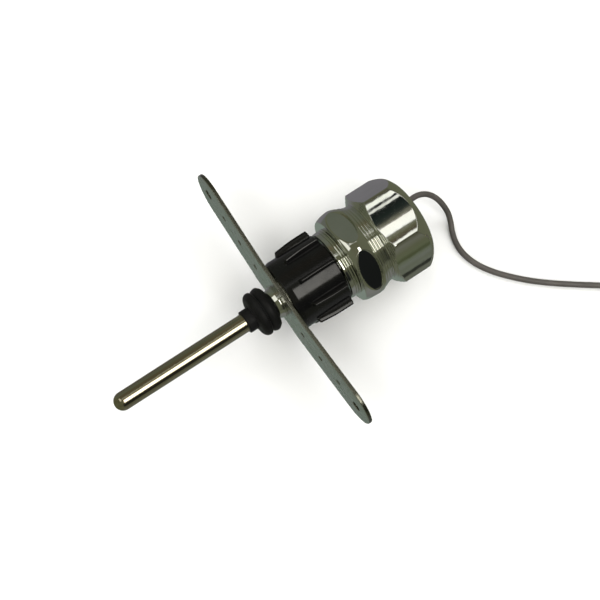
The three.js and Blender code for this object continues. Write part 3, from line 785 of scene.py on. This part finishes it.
def make_clamp_washer():
    radius, thickness = 10, 1
    outline = [(0, STRIP_BORE), (0, radius), (thickness, radius), (thickness, STRIP_BORE)]
    skin("washer", "nut_carrier", "zinc_steel", turned(outline, 128), ["clamp_washer"])


# Clamp nut: a turned shell whose ribs rise out of it.

NUT_RADIUS = 12.45
NUT_CREST = 14.6
NUT_BACK = 18.95
NUT_RIBS = 9
NUT_TURN = math.radians(5.9)
RIB_FRONT = 5.2
RIB_SLOPE = 1.0
RIB_HALF_WIDTH = 0.85


def nut_angles():
    """Angles round the nut, close together on the ribs' sides."""
    half = [0.1, 0.2, 0.3, 0.4, 0.5, 0.58, 0.66, 0.72, 0.77, 0.81, 0.85, 0.92, 1.1]
    offsets = [-o for o in reversed(half)] + [0] + half
    pitch = 2 * math.pi / NUT_RIBS
    angles = []
    for i in range(NUT_RIBS):
        middle = i * pitch
        angles += [middle + o / NUT_RADIUS for o in offsets]
        start, end = offsets[-1] / NUT_RADIUS, pitch + offsets[0] / NUT_RADIUS
        angles += [middle + start + (end - start) * s / 12 for s in range(1, 12)]
    return np.array(angles)


def rib_share(angles):
    """One on a rib's crest, nought between ribs."""
    pitch = 2 * math.pi / NUT_RIBS
    offset = np.abs((angles + pitch / 2) % pitch - pitch / 2) * NUT_RADIUS
    return 1 - np.minimum(offset / RIB_HALF_WIDTH, 1) ** 2.6


def nut_rib_rows(share):
    """The shell along the ribs: they slope up at the front, crown a little, and round off at the back."""
    rise, rear_fall, rear_gap, middle = 0.65, 0.5, 0.2, (RIB_FRONT + NUT_BACK) / 2
    front_steps = [RIB_FRONT - 0.1 + 0.12 * i for i in range(11)]
    back_steps = [NUT_BACK - 0.75 + 0.06 * i for i in range(10)]
    rows = []
    for s in front_steps + [7, 8, 9, 10.5, 12.5, 14.5, 16, 17.5] + back_steps:
        along = float(smooth_step(s, RIB_FRONT, RIB_FRONT + RIB_SLOPE))
        fall = math.sqrt(1 - float(np.clip((s - NUT_BACK + rear_gap + rear_fall) / rear_fall, 0, 1)) ** 2)
        slope = min(1.0, max(0.0, (s - RIB_FRONT) / (middle - RIB_FRONT)))
        height = (NUT_CREST - rise * (1 - slope) - NUT_RADIUS) * along * fall
        rows.append((s, NUT_RADIUS + height * share))
    return rows


def make_clamp_nut():
    angles = nut_angles()
    front, chamfer, cone_middle, cone_end, cone_fall = 0.3, 0.4, 1.5, 2.3, 0.4
    blend, blend_fall = 0.1, 0.01
    foot = NUT_RADIUS - cone_fall - chamfer
    rows = [(front, foot - chamfer), (front, foot)] + arc(front + chamfer, foot, chamfer, 170, 96, 5)
    rows.append((cone_middle, NUT_RADIUS - cone_fall / 2))
    rows += [(cone_end - blend, NUT_RADIUS - blend_fall), (cone_end + blend, NUT_RADIUS)]
    rows += nut_rib_rows(rib_share(angles))
    edge = 0.15
    rows += arc(NUT_BACK - edge, NUT_RADIUS - edge, edge, 85, 0, 4)
    bore, recess, recess_end, relief = 8.15, 10.15, 1.0, 0.3
    thread_front, thread_depth, pitch, rim = 1.6, 0.5, 1.5, 1
    rows += [(NUT_BACK, NUT_RADIUS - rim), (NUT_BACK, bore + thread_depth), (NUT_BACK - chamfer, bore)]
    rows += thread(thread_front, NUT_BACK - rim, bore, bore + thread_depth, pitch)[::-1]
    rows += [(recess_end, bore + relief), (recess_end, recess), (front, recess)]
    vertices, faces = wrapped(rows, angles + NUT_TURN)
    skin("grip_nut", "nut", "black_plastic", (vertices, faces), ["clamp_nut"], sharp=40)


def make_nut_ring():
    station, radius, half_thickness = 5.75, 7.475, 0.525
    outline = arc(station, radius, half_thickness, 0, 360, 20)[:-1]
    skin("locking_ring", "root", "black_rubber", wrapped(outline, turns(96)), ["nut_ring"])


# Gland body: spigot, ringed collar, barrel with five oval pads, ridged neck and rear thread.

PAD_COUNT = 5
PAD_DISTANCE = 14.1
PAD_HALF_WIDTH = 3.3
PAD_HALF_LENGTH = 8.0
PAD_FLARE = 1.9
PAD_TURN = math.radians(44.4)
BARREL_MIDDLE = 27.3
BARREL_RADIUS = 16.3
BARREL_PROFILE = [
    (23.2, 15.0), (24.2, 15.5), (25.5, 15.95), (26.8, 16.25), (27.6, 16.3), (28.4, 16.18), (29.5, 15.88),
    (30.3, 15.58), (31.0, 15.2),
]
NECK_BACK = 34.6
PAD_BLEND = 0.35
# The collar, seen in the photograph: a broad ring and two fine ones, with a groove behind each.
COLLAR_OUTLINE = [
    (19.6, 11.4), (19.62, 11.85), (19.8, 12.1), (20.1, 12.18), (21.1, 12.2), (21.17, 11.8), (21.3, 11.8),
    (21.4, 12.25), (21.7, 12.4), (22.0, 12.3), (22.1, 11.5), (22.28, 11.5), (22.38, 12.35), (22.6, 12.48),
    (22.82, 12.35), (22.9, 11.5), (23.05, 11.5), (23.1, 14.55), (23.14, 14.8),
]


def pad_radius(station, angles):
    """Radius of the pads' floors and flared sides along each angle, and a large radius beside them."""
    large, margin = 100.0, 3
    depth = BARREL_RADIUS - PAD_DISTANCE + margin
    flare = (PAD_FLARE - 1) / depth
    out = np.full(len(angles), large)
    u = (station - BARREL_MIDDLE) / PAD_HALF_WIDTH
    for i in range(PAD_COUNT):
        middle = PAD_TURN + i * 2 * math.pi / PAD_COUNT
        off = (angles - middle + math.pi) % (2 * math.pi) - math.pi
        near = np.abs(off) < math.radians(40)
        cos, sin = np.cos(off), np.sin(off) / PAD_HALF_LENGTH
        floor = PAD_DISTANCE / np.maximum(cos, 0.5)
        inside = u * u + (floor * sin) ** 2 < 1
        # A ray from the axis meets the flared side where u^2 + (r sin)^2 = (1 + flare (r cos - distance))^2.
        base = 1 - flare * PAD_DISTANCE
        a = sin * sin - (flare * cos) ** 2
        b = -2 * base * flare * cos
        c = u * u - base * base
        root = np.sqrt(np.maximum(b * b - 4 * a * c, 0))
        with np.errstate(divide="ignore", invalid="ignore"):
            first, second = (-b - root) / (2 * a), (-b + root) / (2 * a)
        side = np.where((second > floor) & np.isfinite(second), second, large)
        side = np.where((first > floor) & np.isfinite(first), first, side)
        cut = np.where(inside, floor, side)
        out = np.where(near, np.minimum(out, cut), out)
    return out


def ridge(station, crest, width, depth, steps=10):
    """Outline of one round-topped ridge with a groove on each side."""
    points = []
    for i in range(steps + 1):
        share = i / steps * 2 - 1
        points.append((station + width / 2 * share, crest - depth * abs(share) ** 2.5))
    return points


def make_body():
    angles = turns(900)
    front, spigot, groove_front, groove_back, groove, collar_front = 1.8, 8, 5, 6.5, 6.8, 19.6
    spigot_outline = [
        (front, STRIP_BORE), (front, spigot), (groove_front, spigot), (groove_front, groove),
        (groove_back, groove), (groove_back, spigot), (collar_front, spigot),
    ]
    edge, fine_edge = 0.1, 0.05
    rows = eased(spigot_outline, edge) + eased(COLLAR_OUTLINE, fine_edge, 2)
    for station, radius in smooth_profile(BARREL_PROFILE, 8):
        barrel = np.full(len(angles), radius)
        rows.append((station, soft_least(barrel, pad_radius(station, angles), PAD_BLEND)))
    ridge_width, ridge_depth = 1.1, 0.35
    for station, crest in ((31.6, 15.0), (32.7, 14.5), (33.8, 14.2)):
        rows += ridge(station, crest, ridge_width, ridge_depth)
    lip = ((0.2, 13.85), (0.05, 14.0), (0, 13.9))
    rows += [(NECK_BACK - before, radius) for before, radius in lip]
    thread_crest, thread_root, pitch, back = 12.1, 11.4, 1.5, 41.5
    relief, run_in, run_out, end_radius = 11.7, 0.3, 0.2, 11.5
    rows.append((NECK_BACK, relief))
    rows += thread(NECK_BACK + run_in, back - run_out, thread_crest, thread_root, pitch)
    chamber, chamber_floor, counterbore_floor = 9, 20.35, 9.6
    rows += [(back, end_radius), (back, chamber), (chamber_floor, chamber), (chamber_floor, ROD_BORE)]
    rows += [(counterbore_floor, ROD_BORE), (counterbore_floor, STRIP_BORE)]
    skin("body", "root", "bright_plate", wrapped(rows, angles), ["gland_body"], sharp=32)


# Hexagon cap.

CAP_FRONT = 35.1
CAP_BACK = 52.1
CAP_FLAT = 15.55
CAP_CORNER = 17.72
CAP_CROWN = 0.0015
CAP_FILLET = 0.5
# The flats' edges are crisp on the front cone and soft on the shoulder.
CAP_MIDDLE = 40
CAP_FRONT_BLEND = PAD_BLEND / 3
CAP_SHOULDER_BLEND = 0.5
# The cap's shoulder, seen in the photograph.
CAP_SHOULDER = [
    (45.6, 18.7), (46.6, 18.05), (47.6, 17.4), (48.8, 16.5), (49.7, 15.6), (50.6, 14.4), (51.35, 13.2),
    (51.85, 12.0), (52.05, 11.3), (52.1, 10.8),
]


def hexagon_radius(angles):
    """Radius of six crowned flats with round corners along each angle. One flat looks up."""
    sixth = math.pi / 6
    half = CAP_FLAT * math.tan(sixth)
    for _ in range(30):
        tilt = math.atan(2 * CAP_CROWN * half)
        height = CAP_FLAT - CAP_CROWN * half ** 2 - CAP_FILLET * math.cos(tilt)
        half = CAP_FILLET * math.sin(tilt) + height * math.tan(sixth)
    across = np.linspace(0, half, 40)
    out = CAP_FLAT - CAP_CROWN * across ** 2
    bend = np.linspace(tilt, sixth, 16)[1:]
    across = np.append(across, half - CAP_FILLET * math.sin(tilt) + CAP_FILLET * np.sin(bend))
    out = np.append(out, height + CAP_FILLET * np.cos(bend))
    off = np.abs((angles + sixth) % (2 * sixth) - sixth)
    return np.interp(off, np.arctan2(across, out), np.hypot(across, out))


def cap_outline():
    """The turned outline that cuts the hexagon: a ringed cone in front and the shoulder behind."""
    face, edge, edge_fall = 0.5, 0.15, 0.1
    foot, foot_radius, top, past_corner = CAP_FRONT + edge, 14.35, 37.3, 0.2
    points = [(CAP_FRONT, foot_radius - face), (CAP_FRONT, foot_radius - edge_fall), (foot, foot_radius)]
    rings, per_ring, ring_depth, clearance = 5, 6, 0.05, 1
    length = top - foot
    slope = (CAP_CORNER + past_corner - foot_radius) / length
    for i in range(1, rings * per_ring + 1):
        share = i / (rings * per_ring)
        dip = ring_depth * (1 - math.cos(2 * math.pi * (share * rings))) / 2
        points.append((foot + length * share + dip * slope, foot_radius + slope * length * share - dip))
    points += [(s, CAP_CORNER + clearance) for s in (38.2, 40, 42, 44, 45.2)]
    return points + smooth_profile(CAP_SHOULDER, 8)


def make_cap():
    angles = turns(1080)
    flats = hexagon_radius(angles)
    rows = []
    for station, radius in cap_outline():
        blend = CAP_SHOULDER_BLEND if station > CAP_MIDDLE else CAP_FRONT_BLEND
        rows.append((station, soft_least(np.full(len(angles), radius), flats, blend)))
    bore, mouth_round, mouth_end, ledge = 5.75, 0.6, 1.6, 44.7
    rows += [(CAP_BACK, bore + 2 * mouth_round)]
    rows += arc(CAP_BACK - mouth_round, bore + mouth_round, mouth_round, 0, -90, 5)
    inner, outer, pitch, relief = 12.25, 12.85, 1.5, 0.4
    rows += [(CAP_BACK - mouth_end, bore), (ledge, bore), (ledge, inner)]
    rows += thread(CAP_FRONT + relief, ledge - relief, inner, outer, pitch)[::-1]
    rows += [(CAP_FRONT, (inner + outer) / 2)]
    skin("cap_shell", "cap", "bright_plate", wrapped(rows, angles), ["hex_cap"], sharp=32)


def make_gasket():
    inner, outer = 12.25, 14.15
    outline = [(NECK_BACK, inner), (NECK_BACK, outer), (CAP_FRONT, outer), (CAP_FRONT, inner)]
    skin("gasket", "root", "bright_plate", turned(outline, 144, reach=0.2), ["cap_gasket"])


def make_cable_seal():
    bore, plug, flange = 1.15, 8.85, 10.5
    front, step, back = 40.6, 41.5, 43.5
    ring_outer, ring_middle, ring_inner, ring_depth = 3.2, 2.4, 1.6, 0.3
    outline = [(front, bore), (front, plug), (step, plug), (step, flange), (back, flange)]
    outline += [(back, ring_outer), (back - ring_depth, ring_middle), (back, ring_inner), (back, bore)]
    skin("wire_seal", "root", "black_rubber", turned(outline, 96, reach=0.15), ["cable_seal"])


def make_slip_ring():
    front, back, inner, outer = 43.5, 44.7, 5.5, 10
    outline = [(front, inner), (front, outer), (back, outer), (back, inner)]
    skin("thrust_ring", "cap_carrier", "fibre", turned(outline, 96), ["slip_ring"])


for make in (
    make_rod, make_seal, make_nipple, make_sleeve, make_strip, make_clamp_washer, make_clamp_nut,
    make_nut_ring, make_body, make_cap, make_gasket, make_cable_seal, make_slip_ring,
):
    make()

# The stack inside the body keeps its CAD shapes.
inner_finishes = {
    "insulating_bush": "insulator",
    "lock_washer": "zinc_steel",
    "inner_terminal_nut": "terminal_brass",
    "outer_terminal_nut": "terminal_brass",
    "ring_tag": "terminal_brass",
}
for name, slot in inner_finishes.items():
    nodes[name].data.materials.clear()
    nodes[name].data.materials.append(finishes[slot])


# Floor, world and lights.


def make_floor():
    reach = 3.0
    corners = [(-reach, -reach, 0), (reach, -reach, 0), (reach, reach, 0), (-reach, reach, 0)]
    mesh = bpy.data.meshes.new("floor")
    mesh.from_pydata(corners, [], [(0, 1, 2, 3)])
    floor = link(bpy.data.objects.new("floor", mesh))
    finish = Finish("floor", Specular_IOR_Level=0.1)
    finish.colour(finish.noise(3), [(0.3, (0.83, 0.83, 0.83)), (0.7, (0.85, 0.85, 0.85))])
    finish.roughness(finish.noise(5), 0.8, 0.9)
    mesh.materials.append(finish.material)
    # Bright plate would mirror the pale floor. As in the photograph, it mirrors a dim lower half instead.
    floor.visible_glossy = False


# Light from each direction round the probe's axis: degrees from up towards -Y, and a linear colour.
SURROUND = [
    (-180, (0.2, 0.24, 0.21)),
    (-162, (0.2, 0.24, 0.21)),
    (-156, (0.16, 0.165, 0.158)),
    (-137, (0.176, 0.17, 0.185)),
    (-127, (0.17, 0.162, 0.182)),
    (-120, (0.125, 0.13, 0.115)),
    (-95, (0.12, 0.125, 0.11)),
    (-80, (0.12, 0.13, 0.1)),
    (-60, (0.115, 0.125, 0.1)),
    (-38, (0.12, 0.1, 0.06)),
    (-24, (0.1, 0.1, 0.07)),
    (0, (0.11, 0.11, 0.07)),
    (44, (0.13, 0.125, 0.085)),
    (52, (0.02, 0.02, 0.018)),
    (80, (0.008, 0.009, 0.009)),
    (88, (0.11, 0.115, 0.085)),
    (104, (0.11, 0.115, 0.08)),
    (115, (0.17, 0.175, 0.165)),
    (125, (0.185, 0.187, 0.177)),
    (156, (0.16, 0.165, 0.158)),
    (165, (0.19, 0.225, 0.2)),
    (180, (0.2, 0.24, 0.21)),
]
# The narrow strips of light near the top, which the cap's upper flat mirrors.
STRIPS = [
    (-18, (0.1, 0.1, 0.07)),
    (-15.62, (0.085, 0.083, 0.06)),
    (-15.5, (1.1, 1.1, 1.05)),
    (-14.9, (1.1, 1.1, 1.05)),
    (-14.82, (0.02, 0.02, 0.02)),
    (-14.54, (0.02, 0.02, 0.02)),
    (-14.48, (0.9, 0.9, 0.86)),
    (-14.2, (0.9, 0.9, 0.86)),
    (-14.12, (0.008, 0.01, 0.009)),
    (-13, (0.014, 0.02, 0.018)),
    (-12.35, (0.03, 0.035, 0.03)),
    (-12.1, (0.13, 0.13, 0.1)),
    (-11.65, (0.22, 0.21, 0.17)),
    (-11.55, (1.15, 1.12, 1.05)),
    (-10.36, (1.15, 1.15, 1.1)),
    (-10.2, (0.2, 0.2, 0.16)),
    (-9.8, (0.13, 0.13, 0.08)),
    (-9.1, (0.07, 0.055, 0.035)),
    (-8.98, (1.1, 1.1, 1.05)),
    (-8.1, (1.1, 1.1, 1.05)),
    (-7.7, (0.11, 0.11, 0.07)),
    (-7, (0.11, 0.11, 0.07)),
]
# The finer steps towards the floor, which the cap's lower flat mirrors.
LOWER_STRIPS = [
    (103, (0.11, 0.115, 0.08)),
    (105.4, (0.08, 0.08, 0.05)),
    (106.1, (0.139, 0.14, 0.113)),
    (107.2, (0.106, 0.112, 0.069)),
    (107.9, (0.106, 0.118, 0.07)),
    (108.3, (0.07, 0.08, 0.042)),
    (108.55, (0.07, 0.08, 0.042)),
    (108.9, (0.125, 0.14, 0.1)),
    (109.5, (0.142, 0.153, 0.129)),
    (110.1, (0.124, 0.134, 0.104)),
    (110.75, (0.138, 0.15, 0.12)),
    (110.95, (0.03, 0.032, 0.026)),
    (111.4, (0.03, 0.032, 0.026)),
    (111.65, (0.125, 0.13, 0.105)),
    (115, (0.17, 0.175, 0.165)),
]
# Far along the axis, fore and aft, the light is one olive grey.
ENDS_COLOUR = (0.118, 0.123, 0.08)
ENDS_FROM = 0.28
ENDS_TO = 0.5


def make_world():
    world = bpy.data.worlds.new("studio")
    scene.world = world
    world.use_nodes = True
    tree = world.node_tree
    join = tree.links.new

    def math_node(operation, first, second):
        node = tree.nodes.new("ShaderNodeMath")
        node.operation = operation
        for socket, value in zip(node.inputs, (first, second)):
            if isinstance(value, (int, float)):
                socket.default_value = value
            else:
                join(value, socket)
        return node.outputs[0]

    def share_between(source, low, high):
        node = tree.nodes.new("ShaderNodeMapRange")
        node.inputs["From Min"].default_value = low
        node.inputs["From Max"].default_value = high
        join(source, node.inputs["Value"])
        return node.outputs["Result"]

    def ramp(source, stops):
        low, high = stops[0][0], stops[-1][0]
        node = tree.nodes.new("ShaderNodeValToRGB")
        elements = node.color_ramp.elements
        while len(elements) < len(stops):
            elements.new(1)
        for element, (degrees, colour) in zip(elements, stops):
            element.position = (degrees - low) / (high - low)
            element.color = (*colour, 1)
        join(share_between(source, math.radians(low), math.radians(high)), node.inputs["Fac"])
        return node.outputs["Color"]

    def mix(factor, first, second):
        node = tree.nodes.new("ShaderNodeMix")
        node.data_type = "RGBA"
        join(factor, node.inputs["Factor"])
        join(first, node.inputs["A"])
        if isinstance(second, tuple):
            node.inputs["B"].default_value = (*second, 1)
        else:
            join(second, node.inputs["B"])
        return node.outputs["Result"]

    coordinates = tree.nodes.new("ShaderNodeTexCoord")
    split = tree.nodes.new("ShaderNodeSeparateXYZ")
    join(coordinates.outputs["Generated"], split.inputs[0])
    angle = math_node("ARCTAN2", math_node("MULTIPLY", split.outputs["Y"], -1), split.outputs["Z"])
    colour = ramp(angle, SURROUND)
    for finer in (STRIPS, LOWER_STRIPS):
        above = math_node("GREATER_THAN", angle, math.radians(finer[0][0]))
        below = math_node("LESS_THAN", angle, math.radians(finer[-1][0]))
        colour = mix(math_node("MULTIPLY", above, below), colour, ramp(angle, finer))
    ends = share_between(math_node("ABSOLUTE", split.outputs["X"], 0), ENDS_FROM, ENDS_TO)
    background = tree.nodes["Background"]
    join(mix(ends, colour, ENDS_COLOUR), background.inputs["Color"])
    pale = tree.nodes.new("ShaderNodeBackground")
    pale.inputs["Color"].default_value = (0.9, 0.9, 0.9, 1)
    rays = tree.nodes.new("ShaderNodeLightPath")
    shown = tree.nodes.new("ShaderNodeMixShader")
    join(rays.outputs["Is Camera Ray"], shown.inputs[0])
    join(background.outputs[0], shown.inputs[1])
    join(pale.outputs[0], shown.inputs[2])
    join(shown.outputs[0], tree.nodes["World Output"].inputs["Surface"])


def make_light(name, across, along, distance, size, radiance, tint=(1, 1, 1), mirrored=True):
    """A soft box that looks at the probe.

    Its turn round the probe's axis and its lean along it are in degrees, its distance and size in metres.
    Its power follows from its size and the light that it gives off.
    """
    data = bpy.data.lights.new(name, "AREA")
    data.shape = "RECTANGLE"
    data.size, data.size_y = size
    data.energy = radiance * math.pi * size[0] * size[1]
    data.color = tint
    lamp = link(bpy.data.objects.new(name, data))
    turn, lean_angle = math.radians(across), math.radians(along)
    level = math.cos(lean_angle)
    way = Vector((math.sin(lean_angle), -level * math.sin(turn), level * math.cos(turn)))
    side = (Vector((1, 0, 0)) - way * way.x).normalized()
    place = Matrix((side, way.cross(side), way)).transposed().to_4x4()
    place.translation = way * distance + Vector(ORIGIN) * MM
    lamp.matrix_world = place
    lamp.visible_camera = False
    lamp.visible_glossy = mirrored


def make_lights():
    near, far = 1.2, 1.5
    make_light("key", 24, 5, near, size=(0.38, 0.69), radiance=3.3, tint=(1, 0.975, 0.91))
    make_light("front", -20, -31, near, size=(0.3, 0.78), radiance=0.8, tint=(1, 0.985, 0.94))
    for i, (across, along) in enumerate(((-50, 0), (50, 0), (0, -48), (0, 48))):
        make_light(f"fill_{i}", across, along, far, size=(1.2, 1.2), radiance=3.0, mirrored=False)


make_floor()
make_world()
make_lights()
scene.view_settings.view_transform = "Standard"
scene.view_settings.look = "None"
